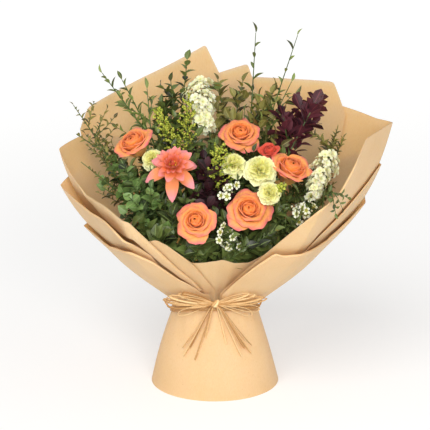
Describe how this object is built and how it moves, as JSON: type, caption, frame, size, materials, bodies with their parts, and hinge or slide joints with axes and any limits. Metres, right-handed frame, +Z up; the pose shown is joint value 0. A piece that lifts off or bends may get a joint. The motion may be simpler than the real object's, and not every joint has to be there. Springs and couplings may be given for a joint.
{
  "type": "wrapped flower bouquet",
  "caption": "Hand-tied mixed bouquet of open roses, filler flowers and foliage in layered kraft-paper sheets, tied with a raffia bow over a flared paper skirt it stands on.",
  "frame": {"origin": "middle of the whole bouquet's outline, on the surface that it stands on", "axes": "+Z up, -Y towards the front with the raffia bow, +X to the right as seen from the front"},
  "size_m": [0.4524, 0.2776, 0.4921],
  "materials": {
    "paper": "matte kraft paper with a soft sheen",
    "raffia": "dry, fibrous raffia",
    "twine": "matte jute twine",
    "stem": "fresh green stem",
    "green_leaf": "leaf green, softly waxy",
    "rose_petal": "velvety orange petal with pink edges",
    "bud_petal": "velvety coral petal",
    "lily_petal": "salmon petal with pink tips",
    "carnation_petal": "pale lemon petal",
    "stock_floret": "cream petal",
    "goldenrod": "yellow-green buds",
    "waxflower": "waxy cream petal",
    "plum_leaf": "dark plum leaf"
  },
  "bodies": {
    "root": {"paper_front_centre": "paper", "paper_front_inner": "paper", "paper_left": "paper", "paper_back_left": "paper", "paper_back_middle": "paper", "paper_back_right": "paper", "paper_left_low": "paper", "paper_front_left": "paper", "paper_right": "paper", "paper_right_low": "paper", "paper_front_right": "paper", "paper_skirt": "paper", "raffia_band": "raffia", "raffia_bow": "raffia", "stem_binding": "twine", "rose_left_stem": "stem", "rose_top_stem": "stem", "rose_right_stem": "stem", "rose_low_left_stem": "stem", "rose_low_right_stem": "stem", "rose_bud_stem": "stem", "lily_stem": "stem", "carnation_right_stem": "stem", "carnation_low_stem": "stem", "carnation_middle_stem": "stem", "carnation_left_stem": "stem", "rose_left_bloom": "rose_petal", "rose_top_bloom": "rose_petal", "rose_right_bloom": "rose_petal", "rose_low_left_bloom": "rose_petal", "rose_low_right_bloom": "rose_petal", "rose_bud_bloom": "bud_petal", "lily_bloom": "lily_petal", "carnation_right_bloom": "carnation_petal", "carnation_low_bloom": "carnation_petal", "carnation_middle_bloom": "carnation_petal", "carnation_left_bloom": "carnation_petal", "stock_top_stem": "stem", "stock_top_bloom": "stock_floret", "stock_right_stem": "stem", "stock_right_bloom": "stock_floret", "goldenrod_top": "goldenrod", "goldenrod_middle": "goldenrod", "waxflower_front": "waxflower", "waxflower_middle": "waxflower", "waxflower_right": "waxflower", "smokebush_right": "plum_leaf", "smokebush_centre": "plum_leaf", "ruscus_left": "green_leaf", "myrtle_left": "green_leaf", "box_left": "green_leaf", "pittosporum_left": "green_leaf", "salal_left": "green_leaf", "salal_front": "green_leaf", "jasmine_right": "green_leaf", "rosemary_right": "green_leaf", "myrtle_tall": "green_leaf", "ruscus_tall": "green_leaf", "eucalyptus_left": "green_leaf", "eucalyptus_right": "green_leaf"}
  },
  "joints": []
}
